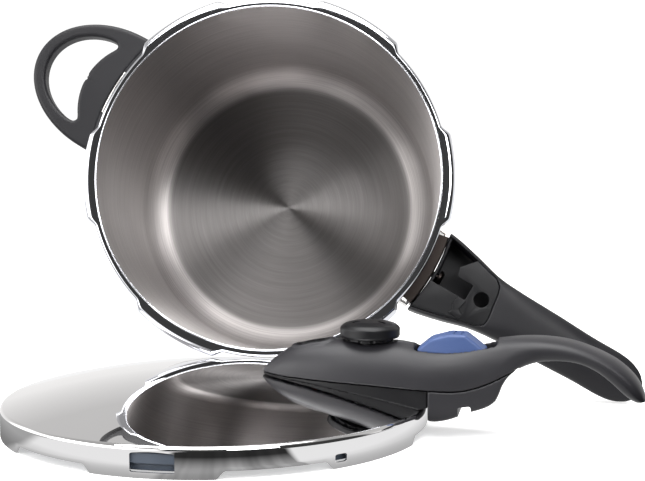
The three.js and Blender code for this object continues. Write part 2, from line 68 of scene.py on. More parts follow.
POT_BORE = 110
POT_WALL = 1.2
POT_DEPTH = 178
FLOOR_FLAT = 89                        # radius of the flat of the pot's floor
BASE_BOTTOM = -186
CORE_MIDDLE = -182.05                  # height of the middle of the base's round core
LONG_HANDLE_AT = -29.8                 # degrees about the pot's axis
LOOP_HANDLE_AT = 151.2


def axes(x_axis, y_axis, z_axis, origin):
    """A placement with millimetres in and metres out."""
    turn = Matrix((x_axis, y_axis, z_axis)).transposed().to_4x4()
    return Matrix.Translation(origin) @ turn @ Matrix.Scale(MM, 4)


def pot_frame():
    """z = 0 is the rim plane and +z points out of the mouth."""
    out = -Vector(mounts["hob_face"]["axis"]).normalized()
    right = Vector((-out.y, out.x, 0)).normalized()
    low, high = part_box("base_core")
    mouth = (low + high) / 2 - CORE_MIDDLE * MM * out
    return axes(right, out.cross(right), out, mouth)


def lid_frame():
    """z = 0 is the bottom of the skirt and +x runs along the handle."""
    along = Vector(joints["lock_slide"]["axis"]).normalized()
    centre = Vector(joints["lid_turn"]["pos_m"])
    centre.z = 0
    up = Vector((0, 0, 1))
    return axes(along, up.cross(along), up, centre)


def about_z(degrees):
    return Matrix.Rotation(math.radians(degrees), 4, "Z")


def lying(place, x, z, degrees=90):
    """A placement whose own z runs outwards along x, or inwards with -90 degrees."""
    return place @ Matrix.Translation((x, 0, z)) @ Matrix.Rotation(math.radians(degrees), 4, "Y")


POT = pot_frame()
LONG_HANDLE = POT @ about_z(LONG_HANDLE_AT)
LOOP_HANDLE = POT @ about_z(LOOP_HANDLE_AT)
LID = lid_frame()

# ---------------- outlines, in millimetres


def oval_arc(cx, cy, wide, tall, start, end, steps):
    """Points of an arc of an ellipse, angles in degrees."""
    angles = np.radians(np.linspace(start, end, steps + 1))
    return [(cx + wide * math.cos(a), cy + tall * math.sin(a)) for a in angles]


def arc(cx, cy, radius, start, end, steps):
    return oval_arc(cx, cy, radius, radius, start, end, steps)


def corner_arc(before, corner, after, radius):
    """The points that round one corner, with a support point just outside each end."""
    a = np.subtract(before, corner)
    b = np.subtract(after, corner)
    la, lb = np.linalg.norm(a), np.linalg.norm(b)
    a, b = a / la, b / lb
    bend = math.pi - math.acos(max(-1, min(1, float(a @ b))))
    if radius <= 0 or bend < 0.02:
        return [tuple(corner)]
    reach = min(radius * math.tan(bend / 2), 0.46 * la, 0.46 * lb)
    radius = reach / math.tan(bend / 2)
    middle = (a + b) / np.linalg.norm(a + b) * radius / math.cos(bend / 2)
    start, end = a * reach - middle, b * reach - middle
    first = math.atan2(start[1], start[0])
    sweep = math.atan2(end[1], end[0]) - first
    sweep = (sweep + math.pi) % (2 * math.pi) - math.pi
    steps = max(3, int(abs(sweep) / math.radians(11)) + 1)
    centre = np.array(corner) + middle
    points = [centre + radius * np.array((math.cos(first + sweep * k / steps),
                                          math.sin(first + sweep * k / steps)))
              for k in range(steps + 1)]
    support = min(0.25 * reach, 0.12)
    points.insert(0, points[0] + a * support)
    points.append(points[-1] + b * support)
    return [tuple(p) for p in points]


def rounded(points, radius, closed=True):
    """An outline with rounded corners. A point is (x, y) or (x, y, its own radius)."""
    made = []
    count = len(points)
    for i, point in enumerate(points):
        if not closed and i in (0, count - 1):
            made.append(tuple(point[:2]))
            continue
        own = point[2] if len(point) > 2 else radius
        made += corner_arc(points[i - 1][:2], point[:2], points[(i + 1) % count][:2], own)
    return made


def oblong(x0, x1, y0, y1, radius):
    """A rectangle with rounded corners."""
    return rounded([(x0, y0), (x1, y0), (x1, y1), (x0, y1)], radius)


def mirrored(half):
    """The closed outline of a half above the x axis and its mirror image below."""
    return [(x, -y) for x, y in half] + half[::-1]


def spline(points, steps):
    """A smooth curve through the points."""
    p = [np.array(q, float) for q in points]
    made = []
    for i in range(len(p) - 1):
        p1, p2 = p[i], p[i + 1]
        p0 = p[i - 1] if i > 0 else 2 * p1 - p2
        p3 = p[i + 2] if i + 2 < len(p) else 2 * p2 - p1
        k01, k12, k23 = (max(np.linalg.norm(b - a), 1e-6) ** 0.5 for a, b in ((p0, p1), (p1, p2), (p2, p3)))
        m1 = (p2 - p1) + k12 * ((p1 - p0) / k01 - (p2 - p0) / (k01 + k12))
        m2 = (p2 - p1) + k12 * ((p3 - p2) / k23 - (p3 - p1) / (k12 + k23))
        for t in np.linspace(0, 1, steps, endpoint=False):
            made.append(tuple((2 * t ** 3 - 3 * t ** 2 + 1) * p1 + (t ** 3 - 2 * t ** 2 + t) * m1
                              + (3 * t ** 2 - 2 * t ** 3) * p2 + (t ** 3 - t ** 2) * m2))
    made.append(tuple(p[-1]))
    return made


def rail(points):
    """A smooth height or width along one axis, as a function."""
    curve = np.array(spline(points, 10))
    return lambda at: float(np.interp(at, curve[:, 0], curve[:, 1]))


def offset(outline, distance):
    """The outline grown by distance, for a counter-clockwise outline."""
    p = np.array(outline, float)
    before, after = p - np.roll(p, 1, 0), np.roll(p, -1, 0) - p
    normals = []
    for d in (before, after):
        n = np.stack((d[:, 1], -d[:, 0]), 1)
        normals.append(n / np.maximum(np.linalg.norm(n, axis=1, keepdims=True), 1e-9))
    mean = normals[0] + normals[1]
    mean /= np.maximum((mean * normals[0]).sum(1, keepdims=True), 0.5)
    return p + distance * mean


def superellipse(x, half, top, low, belly, upper_power, lower_power):
    """A ring across x, between the heights top and low, and widest at the height of the belly."""
    ring = []
    for k in range(96):
        a = 2 * math.pi * k / 96
        c, s = math.cos(a), math.sin(a)
        power, tall = (upper_power, top - belly) if s >= 0 else (lower_power, belly - low)
        ring.append((x, half * math.copysign(abs(c) ** (2 / power), c),
                     belly + tall * math.copysign(abs(s) ** (2 / power), s)))
    return ring


# ---------------- meshes


def polar(radius, degrees, z):
    a = math.radians(degrees)
    return (radius * math.cos(a), radius * math.sin(a), z)


def linked(name, data):
    """A new object in the scene."""
    made = bpy.data.objects.new(name, data)
    bpy.context.scene.collection.objects.link(made)
    return made


def raw(points, faces, place):
    """A mesh object whose faces point out."""
    mesh = bpy.data.meshes.new("part")
    mesh.from_pydata([tuple(place @ Vector(p)) for p in points], [], faces)
    mesh.update()
    work = bmesh.new()
    work.from_mesh(mesh)
    bmesh.ops.remove_doubles(work, verts=work.verts, dist=1e-7)
    bmesh.ops.recalc_face_normals(work, faces=work.faces)
    work.to_mesh(mesh)
    work.free()
    return linked("part", mesh)


def shell(rings, place, loop=False):
    """A closed body through rings of equal length; a ring of one point is a pole."""
    points, faces, starts = [], [], []
    for ring in rings:
        starts.append(len(points))
        points += [tuple(p) for p in ring]
    pairs = list(zip(range(len(rings) - 1), range(1, len(rings))))
    if loop:
        pairs.append((len(rings) - 1, 0))
    for low, high in pairs:
        a, b = starts[low], starts[high]
        na, nb = len(rings[low]), len(rings[high])
        for k in range(max(na, nb)):
            m = (k + 1) % max(na, nb)
            if na == 1:
                faces.append((a, b + m, b + k))
            elif nb == 1:
                faces.append((a + k, a + m, b))
            else:
                faces.append((a + k, a + m, b + m, b + k))
    if not loop:
        for ring, start in ((rings[0], starts[0]), (rings[-1], starts[-1])):
            if len(ring) > 1:
                faces.append(tuple(range(start, start + len(ring))))
    return raw(points, faces, place)


def turned(profile, place, segments=192, at=(0, 0), shape=None, angles=None):
    """A body spun about z. shape(angle, index) moves a profile point by (radius, height)."""
    loop = profile[0][0] > 1e-6
    if angles is None:
        angles = np.linspace(0, 2 * math.pi, segments, endpoint=False)
    rings = []
    for index, (r, z) in enumerate(profile):
        if r < 1e-6:
            rings.append([(at[0], at[1], z)])
            continue
        ring = []
        for a in angles:
            dr, dz = shape(a, index) if shape else (0, 0)
            ring.append((at[0] + (r + dr) * math.cos(a), at[1] + (r + dr) * math.sin(a), z + dz))
        rings.append(ring)
    return shell(rings, place, loop)


def spun(outline, radius, place, segments, at=(0, 0)):
    """A turned piece with rounded edges. An outline that starts on the axis also ends there."""
    return turned(rounded(outline, radius, closed=outline[0][0] > 0), place, segments, at)


def prism(outline, levels, place):
    """The outline stacked at (z, growth) levels, which rounds or flares its edges."""
    return shell([[(x, y, z) for x, y in offset(outline, grow)] for z, grow in levels], place)


def soft_levels(low, high, bevel, steps=4, side=-1):
    """Levels of a plate whose two edges are rounded: in with side -1, out with side 1."""
    turn = np.radians(np.linspace(0, 90, steps + 1))
    edge = [(bevel * (1 - math.sin(t)), side * bevel * (1 - math.cos(t))) for t in turn]
    return [(low + step, grow) for step, grow in edge[::-1]] + [(high - step, grow) for step, grow in edge]


def flared_levels(low, high, bevel, steps=4):
    """Levels of a cutter that rounds the edges of the hole it makes in a plate."""
    return [(low - 3, bevel)] + soft_levels(low, high, bevel, steps, 1) + [(high + 3, bevel)]


def upright(outline, half, place):
    """An outline in the xz plane, as wide as 2 * half along y."""
    return shell([[(x, y, z) for x, z in outline] for y in (-half, half)], place)


def block(x0, x1, y0, y1, z0, z1, place):
    return prism(oblong(x0, x1, y0, y1, 0), [(z0, 0), (z1, 0)], place)


def cylinder(radius, z0, z1, place, at=(0, 0), segments=96):
    return prism(arc(*at, radius, 0, 360 * (1 - 1 / segments), segments - 1), [(z0, 0), (z1, 0)], place)


def applied(obj):
    """The object with its modifiers made real."""
    graph = bpy.context.evaluated_depsgraph_get()
    mesh = bpy.data.meshes.new_from_object(obj.evaluated_get(graph))
    obj.modifiers.clear()
    obj.data = mesh
    return obj


def boolean(operation, body, tools):
    """The body after the operation with each tool in turn. The tools are used up."""
    for tool in tools:
        change = body.modifiers.new("shape", "BOOLEAN")
        change.operation = operation
        change.object = tool
        change.solver = "EXACT"
        applied(body)
        bpy.data.objects.remove(tool)
    return body


def cut(body, *tools):
    return boolean("DIFFERENCE", body, tools)


def common(body, *tools):
    return boolean("INTERSECT", body, tools)


def join(body, *tools):
    return boolean("UNION", body, tools)


def melted(body, voxel, rounds):
    """One even skin over the body, with its edges and joins rounded off."""
    skin = body.modifiers.new("skin", "REMESH")
    skin.mode = "VOXEL"
    skin.voxel_size = voxel * MM
    smooth = body.modifiers.new("smooth", "SMOOTH")
    smooth.factor = 0.5
    smooth.iterations = rounds
    return applied(body)


def finish_piece(obj, name, nodes, body, material, sharp=32):
    """Names the piece, gives it its material and hands it to its body."""
    obj.name = name
    obj.data.name = name
    obj.data.materials.clear()
    obj.data.materials.append(material)
    obj.data.polygons.foreach_set("use_smooth", [True] * len(obj.data.polygons))
    obj.data.polygons.foreach_set("material_index", [0] * len(obj.data.polygons))
    if sharp:
        obj.data.set_sharp_from_angle(angle=math.radians(sharp))
    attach(obj, body)
    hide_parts(*nodes)
    return obj


# ---------------- materials


class Nodes:
    """A short way to write a node tree."""

    def __init__(self, name):
        self.material = bpy.data.materials.new(name)
        self.material.use_nodes = True
        self.tree = self.material.node_tree
        self.shader = self.tree.nodes["Principled BSDF"]

    def add(self, kind, inputs=(), **settings):
        node = self.tree.nodes.new("ShaderNode" + kind)
        for key, value in settings.items():
            setattr(node, key, value)
        for slot, value in dict(inputs).items():
            self.feed(node.inputs[slot], value)
        return node

    def feed(self, socket, value):
        if isinstance(value, bpy.types.NodeSocket):
            self.tree.links.new(value, socket)
        else:
            socket.default_value = value

    def set(self, **values):
        for name, value in values.items():
            self.feed(self.shader.inputs[name.replace("_", " ")], value)

    def math(self, operation, a, b):
        return self.add("Math", {0: a, 1: b}, operation=operation).outputs[0]

    def times(self, a, b):
        return self.math("MULTIPLY", a, b)

    def plus(self, a, b):
        return self.math("ADD", a, b)

    def less(self, a, b):
        return self.math("SUBTRACT", a, b)

    def vector(self, operation, a, b=(0, 0, 0)):
        node = self.add("VectorMath", {0: a, 1: b}, operation=operation)
        return node.outputs["Value" if operation in ("LENGTH", "DOT_PRODUCT") else "Vector"]

    def noise(self, where, scale, detail=2.0, roughness=0.5):
        sockets = {"Vector": where, "Scale": scale, "Detail": detail, "Roughness": roughness}
        return self.add("TexNoise", sockets).outputs["Fac"]

    def between(self, value, low, high, out_low, out_high, kind="LINEAR"):
        """Runs from out_low to out_high while the value runs from low to high."""
        sockets = {"Value": value, "From Min": low, "From Max": high, "To Min": out_low, "To Max": out_high}
        return self.add("MapRange", sockets, interpolation_type=kind).outputs["Result"]

    def step(self, value, low, high):
        """Runs softly from 0 at low to 1 at high."""
        return self.between(value, low, high, 0.0, 1.0, "SMOOTHSTEP")

    def bearing(self, way):
        """Degrees about z from the camera's side, positive to the camera's right."""
        return self.times(self.math("ARCTAN2", way[0], self.times(way[1], -1.0)), 180 / math.pi)

    def mix(self, factor, a, b):
        """A mix of two colours, each a socket or (red, green, blue)."""
        node = self.add("Mix", {"Factor": factor}, data_type="RGBA")
        for slot, colour in ((6, a), (7, b)):
            self.feed(node.inputs[slot], (*colour, 1) if isinstance(colour, tuple) else colour)
        return node.outputs[2]

    def bump(self, height, strength, distance):
        node = self.add("Bump", {"Height": height, "Strength": strength, "Distance": distance})
        self.set(Normal=node.outputs["Normal"])

    def place(self):
        return self.add("TexCoord").outputs["Object"]

    def split(self, vector):
        return self.add("SeparateXYZ", {0: vector}).outputs

    def joined(self, x=0.0, y=0.0, z=0.0):
        return self.add("CombineXYZ", {0: x, 1: y, 2: z}).outputs[0]

    def show(self, seen, mirrored, output):
        """One shader for the camera's own rays and another for all the other rays."""
        ray = self.add("LightPath").outputs["Is Camera Ray"]
        mix = self.add("MixShader", {0: ray, 1: mirrored.outputs[0], 2: seen.outputs[0]})
        self.feed(self.tree.nodes[output].inputs["Surface"], mix.outputs[0])


def turned_coordinates(n, placement):
    """The point's direction, radius and height about the placement's axis, and the tangent there."""
    inverse = placement.inverted()
    where = n.place()
    local = [n.plus(n.vector("DOT_PRODUCT", where, tuple(inverse[i][:3])), inverse[i][3]) for i in range(3)]
    flat = n.joined(local[0], local[1])
    radius = n.vector("LENGTH", flat)
    direction = n.vector("NORMALIZE", flat)
    axis = placement.to_3x3().col[2].normalized()
    out = n.vector("SUBTRACT", where, tuple(placement.translation))
    tangent = n.vector("NORMALIZE", n.vector("CROSS_PRODUCT", tuple(axis), out))
    tangent = n.add("VectorTransform", {0: tangent}, vector_type="VECTOR",
                    convert_from="OBJECT", convert_to="WORLD").outputs[0]
    return direction, radius, local[2], tangent


def ring_vector(n, direction, across, around):
    """Noise coordinates that are long around the axis and short across it."""
    spread = n.add("VectorMath", {0: direction, "Scale": around}, operation="SCALE").outputs[0]
    return n.vector("ADD", spread, n.joined(z=across))


def brushed_steel(name, placement):
    """Stainless steel brushed in rings, with fine scratches; its floor is painted darker, as painted shade
    at the bottom of the deep pot.
    """
    n = Nodes(name)
    direction, radius, height, tangent = turned_coordinates(n, placement)
    across = n.plus(radius, height)
    fine = n.noise(ring_vector(n, direction, n.times(across, 1.5), 1.1), 1.0, 3.0, 0.65)
    broad = n.noise(ring_vector(n, direction, n.times(across, 0.35), 0.8), 1.0, 3.0, 0.55)
    cloud = n.noise(n.place(), 14.0, 3.0)
    # Painted shade: 1 below the height of the pot's inner floor, where the darker colour goes.
    painted_shade_on_floor = n.between(height, 0.1 - POT_DEPTH, 1 - POT_DEPTH, 1.0, 0.0)
    wall = n.mix(broad, (0.49, 0.46, 0.453), (0.575, 0.545, 0.537))
    # The floor's colour: a darker copy of the wall's, painted shade.
    floor = n.mix(broad, (0.17, 0.163, 0.161), (0.26, 0.25, 0.247))
    colour = n.mix(painted_shade_on_floor, wall, floor)
    streak = n.mix(n.between(fine, 0.35, 0.65, 0.0, 0.42), colour, (0.16, 0.15, 0.145))
    n.set(Base_Color=streak, Metallic=1.0, Anisotropic=1.0, Anisotropic_Rotation=0.25, Tangent=tangent)
    rough = n.plus(n.between(fine, 0.2, 0.8, 0.30, 0.40), n.between(cloud, 0.3, 0.7, -0.02, 0.03))
    n.set(Roughness=rough)
    n.bump(fine, 0.12, 0.0002)
    return n.material


def polished_steel(name, placement, roughness, tint):
    """Bright steel with the faint haze, rings and hairlines of a polished pressing."""
    n = Nodes(name)
    direction, radius, height, _ = turned_coordinates(n, placement)
    across = n.plus(radius, height)
    hair = n.noise(ring_vector(n, direction, n.times(across, 3.0), 6.0), 1.0, 4.0, 0.7)
    haze = n.noise(n.place(), 22.0, 4.0, 0.6)
    colour = n.mix(haze, tuple(0.96 * c for c in tint), tint)
    rough = n.plus(n.between(haze, 0.3, 0.7, 0.0, roughness * 0.5),
                   n.between(hair, 0.55, 0.75, roughness, roughness * 2.0))
    n.set(Base_Color=colour, Metallic=1.0, Roughness=rough)
    n.bump(hair, 0.006, 0.00005)
    return n.material


def moulded(name, low, high, roughness, strength=0.16, gloss=0.5):
    """Moulded plastic: a fine spark-eroded grain, a slow drift of colour, and handling gloss."""
    n = Nodes(name)
    where = n.place()
    speck = n.noise(where, 1500.0, 2.0, 0.6)
    cloud = n.noise(where, 35.0, 4.0, 0.6)
    n.set(Base_Color=n.mix(cloud, low, high), Metallic=0.0, Specular_IOR_Level=gloss)
    n.set(Roughness=n.plus(n.between(cloud, 0.3, 0.7, roughness - 0.04, roughness + 0.05),
                           n.between(speck, 0.3, 0.7, -0.03, 0.03)))
    n.bump(speck, strength, 0.0002)
    return n.material


def hardware(name, colour, roughness):
    """Small turned or pressed metal parts with a fine tooled surface."""
    n = Nodes(name)
    where = n.place()
    stretched = n.vector("MULTIPLY", where, (1.0, 1.0, 6.0))
    tool = n.noise(stretched, 900.0, 3.0, 0.6)
    cloud = n.noise(where, 60.0, 3.0)
    n.set(Base_Color=n.mix(cloud, tuple(0.8 * c for c in colour), colour), Metallic=1.0)
    n.set(Roughness=n.between(tool, 0.25, 0.75, roughness - 0.06, roughness + 0.08))
    n.bump(tool, 0.08, 0.0001)
    return n.material


BRUSHED = brushed_steel("brushed_steel", POT)
POT_POLISHED = polished_steel("pot_polished_steel", POT, 0.03, (0.83, 0.84, 0.88))
LID_POLISHED = polished_steel("lid_polished_steel", LID, 0.008, (0.80, 0.795, 0.80))
BRACKET = hardware("bracket_steel", (0.80, 0.78, 0.76), 0.2)
GUARD = hardware("heat_tinted_steel", (0.045, 0.037, 0.034), 0.38)
FASTENER = hardware("fastener_steel", (0.62, 0.62, 0.63), 0.3)
ALUMINIUM = hardware("core_aluminium", (0.70, 0.71, 0.72), 0.4)
PHENOLIC = moulded("phenolic", (0.015, 0.0145, 0.017), (0.021, 0.0205, 0.024), 0.43, gloss=0.4)
# A darker, duller copy of the phenolic for the pot's two handles: painted shade, so that they read darker
# than the lid's handle.
PHENOLIC_PAINTED_SHADE = moulded("phenolic_painted_shade", (0.008, 0.0078, 0.0095), (0.012, 0.0117, 0.014), 0.45, gloss=0.3)
BLACK = moulded("black_plastic", (0.004, 0.004, 0.005), (0.006, 0.006, 0.007), 0.4, gloss=0.32)
BLUE = moulded("blue_plastic", (0.042, 0.074, 0.19), (0.054, 0.090, 0.22), 0.42, strength=0.08, gloss=0.4)
GREY_RUBBER = moulded("grey_rubber", (0.055, 0.07, 0.095), (0.075, 0.092, 0.12), 0.38, strength=0.1)
RED_RUBBER = moulded("red_rubber", (0.38, 0.035, 0.02), (0.46, 0.05, 0.03), 0.5)

# ---------------- pot

RIM_GAP = 115.1
RIM_LOBE = 119.6
LOBE_HALF = 12.9                       # degrees
LOBE_RAMP = 3.8
ROLL_WIDE = 4.0                        # the lobes' edge is rolled down in this quarter of an ellipse
ROLL_DEEP = 4.6


def sixfold(angle, middle, half, ramp):
    """1 within half degrees of the middle and of every 60 degrees from it, 0 beyond a soft ramp."""
    away = abs((math.degrees(angle) - middle + 30) % 60 - 30)
    t = min(1.0, max(0.0, (away - half) / ramp))
    return 1 - t * t * (3 - 2 * t)


def fine_angles(middle, start, end, count):
    """Steps of a degree round the axis, with finer ones on the six ramps either side of the middles."""
    grid = set(np.round(np.arange(0, 360, 1.0), 3))
    for centre in range(middle, 360, 60):
        for away in np.linspace(start, end, count):
            grid |= {round(float((centre + side * away) % 360), 3) for side in (-1, 1)}
    return np.radians(sorted(grid))


def rim_profile():
    """The pot wall and its rolled rim as (radius, height) points, and how far a lobe moves each one."""
    fillet = POT_BORE - FLOOR_FLAT
    inside = [(0, -POT_DEPTH), (40, -POT_DEPTH), (FLOOR_FLAT - 4, -POT_DEPTH)]
    inside += arc(FLOOR_FLAT, -POT_DEPTH + fillet, fillet, -90, 0, 24)
    inside += [(POT_BORE, z) for z in (-150, -110, -70, -40, -20, -8, -3)]
    inside += rounded([(POT_BORE, -3), (POT_BORE, 1.1, 0.45), (110.9, 1.1, 0.45), (111.1, 0, 0.15),
                       (112.6, 0)], 0.3, closed=False)[1:]
    gap = oval_arc(RIM_GAP - 1.9, -2.3, 1.9, 2.3, 90, 0, 14)
    lobe = oval_arc(RIM_LOBE - ROLL_WIDE, -ROLL_DEEP, ROLL_WIDE, ROLL_DEEP, 90, 0, 14)
    gap += [(115.0, -2.8), (114.6, -3.1), (113.9, -3.2), (113.0, -3.3), (112.2, -3.5), (111.6, -4.2)]
    lobe += [(119.5, -5.1), (118.6, -5.1), (118.0, -3.8), (115.6, -2.3), (113.2, -2.6), (111.7, -3.9)]
    outside = [(POT_BORE + POT_WALL, z) for z in (-6, -20, -60, -100, -140)]
    outside += arc(FLOOR_FLAT, -POT_DEPTH + fillet, fillet + POT_WALL, 0, -90, 16)
    outside += [(0, -POT_DEPTH - POT_WALL)]
    moves = [(0, 0)] * len(inside)
    moves += [(far[0] - near[0], far[1] - near[1]) for near, far in zip(gap, lobe)]
    moves += [(0, 0)] * len(outside)
    return inside + gap + outside, moves


def make_pot_body():
    profile, moves = rim_profile()

    def shape(angle, index):
        share = sixfold(angle, 0, LOBE_HALF, LOBE_RAMP)
        return moves[index][0] * share, moves[index][1] * share

    angles = fine_angles(0, LOBE_HALF - 0.6, LOBE_HALF + LOBE_RAMP + 0.6, 13)
    obj = turned(profile, POT, shape=shape, angles=angles)
    obj = finish_piece(obj, "pot_shell", ["pot_body"], "pot", BRUSHED, sharp=0)
    obj.data.materials.append(POT_POLISHED)
    inverse = POT.inverted()
    for face in obj.data.polygons:
        local = inverse @ face.center
        inner = math.hypot(local.x, local.y) < POT_BORE + 0.02 and local.z < -0.2
        face.material_index = 0 if inner and local.z > -POT_DEPTH - 0.4 else 1


def make_base():
    bend = -POT_DEPTH + POT_BORE - FLOOR_FLAT
    seat = -POT_DEPTH - POT_WALL - 0.3
    hug = POT_BORE - FLOOR_FLAT + POT_WALL + 0.6
    start = math.degrees(math.asin(9 / hug))
    edge = [(0, BASE_BOTTOM), (30, BASE_BOTTOM), (90, BASE_BOTTOM), (104, BASE_BOTTOM)]
    edge += arc(107.5, BASE_BOTTOM + 4, 4, -90, 0, 8) + [(111.5, bend - 9.3)]
    edge += arc(FLOOR_FLAT, bend, hug, -start, -88, 12)
    edge += [(FLOOR_FLAT + 0.1, seat), (FLOOR_FLAT + 0.1, BASE_BOTTOM + 1.1), (0, BASE_BOTTOM + 1.1)]
    steel = brushed_steel("base_brushed_steel", POT)
    finish_piece(turned(edge, POT, 240), "base_disc", ["base_cap"], "pot", steel)
    foot = BASE_BOTTOM + 1.4
    core = spun([(0, foot), (88.6, foot), (88.6, seat), (0, seat)], 0.5, POT, 128)
    finish_piece(core, "core_plate", ["base_core"], "pot", ALUMINIUM)


# ---------------- long handle of the pot

HANDLE_ARC = 122                       # radius at which the long handle starts
PLATE_TOP = -6.6
PLATE_LOW = PLATE_TOP - 3.2
POCKET_END = 164
POCKET_FLOOR = -30.6
LONG_SCREW_AT = -24                    # height of the screw's axis


def long_handle_hull():
    """The handle's outer form: a flat-topped box at the pot that runs into a rounded grip."""
    half = rail([(112, 28.4), (124, 27.2), (141, 23.5), (159, 18.9), (175, 17.4), (204, 16.4), (230, 15.3),
                 (251, 15.0), (259, 13.4), (266, 9.8), (270, 5.2), (271.6, 1.4)])
    top = rail([(112, -6), (150, -6), (162, -5.9), (176, -4.4), (200, -3.7), (228, -4.4), (250, -6.4),
                (264, -8.9), (271.6, -11.4)])
    low = rail([(112, -44), (130, -43.6), (146, -40), (160, -34.5), (180, -26), (200, -22.2), (225, -21.6),
                (250, -18), (264, -14.6), (271.6, -12.6)])
    square = rail([(112, 12), (150, 9), (168, 5), (190, 3.2), (220, 2.7), (271.6, 2.3)])
    stations = list(np.linspace(112, 250, 70)) + list(np.linspace(252, 271.4, 24))
    rings = []
    for x in stations:
        belly = (top(x) + low(x)) / 2
        rings.append(superellipse(x, half(x), top(x), low(x), belly, square(x), square(x)))
    return shell(rings, LONG_HANDLE)


def long_handle_outline(inset, end):
    """The pocket's outline in the flat part of the handle, with its curved far end."""
    start = 100
    half = rail([(start, 31.2), (124, 27.2), (141, 23.5), (159, 18.9), (170, 17.6)])
    side = [(r, half(r) - inset) for r in np.linspace(start, end - 5.5, 16)]
    curve = [(end - 1.6, half(end) - inset - 2.4), (end - 0.2, 9), (end + 1.0, 0), (end + 2.2, -9),
             (end + 1.6, -half(end) + inset + 2.6)]
    back = [(r, -half(r) + inset) for r in np.linspace(end - 3.0, start, 16)]
    return side + spline(curve, 5) + back


def make_long_handle():
    hull = long_handle_hull()
    inner = cylinder(HANDLE_ARC, -60, 20, LONG_HANDLE, segments=360)
    outline = long_handle_outline(2.4, POCKET_END)[::-1]
    pocket = prism(outline, [(POCKET_FLOOR, 0), (20, 0)], LONG_HANDLE)
    pocket = cut(pocket, cylinder(HANDLE_ARC + 2.2, -60, PLATE_LOW, LONG_HANDLE, segments=360))
    hollow_side = upright([(174, -60), (174, -23), (188, -14.5), (226, -13.5), (246, -15), (252, -60)], 40,
                          LONG_HANDLE)
    plan = rounded(mirrored([(172, 12.4), (205, 11.6), (232, 10.6), (250, 9.4)]), 4)
    hollow = common(prism(plan, [(-60, 0), (0, 0)], LONG_HANDLE), hollow_side)
    hole = cylinder(3.4, 110, 130, lying(LONG_HANDLE, 0, LONG_SCREW_AT), segments=32)
    body = melted(cut(hull, inner, pocket, hollow, hole), 0.62, 5)
    finish_piece(body, "long_handle", ["pot_handle"], "pot", PHENOLIC_PAINTED_SHADE, sharp=0)


def make_handle_insert():
    """The recessed plate with the L-shaped lock opening, the round hole and the stepped rib."""
    outline = long_handle_outline(2.75, POCKET_END - 0.35)[::-1]
    body = prism(outline, soft_levels(PLATE_LOW, PLATE_TOP, 0.35), LONG_HANDLE)
    opening = rounded([(118, -5.2, 0), (147.6, -5.2, 0.8), (147.6, 5.4, 0.8), (136.4, 5.4, 1.2),
                       (134.6, 11.2, 1), (144.3, 22.4, 0), (140, 33, 0), (118, 33, 0)], 0.8)
    through = flared_levels(PLATE_LOW, PLATE_TOP, 0.3)
    tool = prism(opening, through, LONG_HANDLE)
    hole = prism(arc(156.5, 0, 4.9, 0, 354, 59), through, LONG_HANDLE)
    inner = cylinder(HANDLE_ARC + 0.5, -60, 20, LONG_HANDLE, segments=360)
    body = cut(body, inner, tool, hole)
    rib = rounded([(141.8, -11.4), (143.6, -14.4), (142.2, -17.2), (149.8, -17.6), (150.6, -14.6),
                   (147.2, -12.4), (148.4, -5.6), (142.6, -5.6)], 0.5)
    rib = prism(rib, soft_levels(PLATE_TOP - 1.5, PLATE_TOP + 1.2, 0.4), LONG_HANDLE)
    finish_piece(join(body, rib), "handle_lock_plate", ["pot_handle_insert"], "pot", BLACK)


def bracket(half, reach, low, high, place):
    """A welded channel: two cheeks and a curved face."""
    wall = POT_BORE + POT_WALL + 0.3
    sheet = 1.8

    def on(radius, y):
        return (math.sqrt(radius * radius - y * y), y)

    outer = [on(reach, y) for y in np.linspace(-half, half, 25)]
    inner = [on(reach - sheet, y) for y in np.linspace(half - sheet, -half + sheet, 25)]
    outline = [on(wall, -half)] + outer + [on(wall, half), on(wall, half - sheet)] + inner
    outline += [on(wall, -half + sheet)]
    return prism(outline, soft_levels(low, high, 0.3, 3), place)


def make_handle_root():
    section = rounded([(120.45, -42), (121.65, -42), (121.65, -7.1, 1.2), (114.2, -7.1), (114.2, -7.9),
                       (120.45, -7.9, 0.3)], 0.3)
    band = shell([[polar(r, a, z) for r, z in section] for a in np.linspace(-11.5, 11.5, 41)], LONG_HANDLE)
    finish_piece(band, "guard_band", ["flame_guard"], "pot", GUARD)
    plate = bracket(26.35, HANDLE_ARC - 1.95, -40, -8.5, LONG_HANDLE)
    finish_piece(plate, "long_bracket", ["pot_handle_bracket"], "pot", BRACKET)


# ---------------- loop handle

LOOP_TOP = -10
LOOP_LOW = -22
LOOP_SCREW_AT = -16


def make_loop_handle():
    outline = [(110, -41.5)] + oval_arc(118, 0, 56, 41.5, -90, 90, 60) + [(110, 41.5)]
    body = prism(outline, soft_levels(LOOP_LOW, LOOP_TOP, 2.6, 6), LOOP_HANDLE)
    window = oval_arc(130.5, 0, 35, 29.6, -80, 80, 40)
    bulge = arc(95.1, 0, 43.3, 31, -31, 24)
    corner = spline([window[-1], (131.6, 29.0), (129.9, 26.8), (130.8, 24.6), bulge[0]], 5)[1:-1]
    opening = window + corner + bulge + [(x, -y) for x, y in reversed(corner)]
    hole = prism(opening, flared_levels(LOOP_LOW, LOOP_TOP, 2.0, 5), LOOP_HANDLE)
    inner = cylinder(HANDLE_ARC - 3, -60, 20, LOOP_HANDLE, segments=360)
    screw = lying(LOOP_HANDLE, 0, LOOP_SCREW_AT)
    bores = [cylinder(2.8, 100, 140, screw, segments=32), cylinder(5.4, 133, 145, screw, segments=48)]
    body = melted(cut(body, hole, inner, *bores), 0.6, 4)
    finish_piece(body, "loop_handle", ["side_handle"], "pot", PHENOLIC_PAINTED_SHADE, sharp=0)
    plate = bracket(15, HANDLE_ARC - 3.5, LOOP_LOW, LOOP_TOP, LOOP_HANDLE)
    finish_piece(plate, "loop_bracket", ["side_handle_bracket"], "pot", BRACKET)


# ---------------- lid

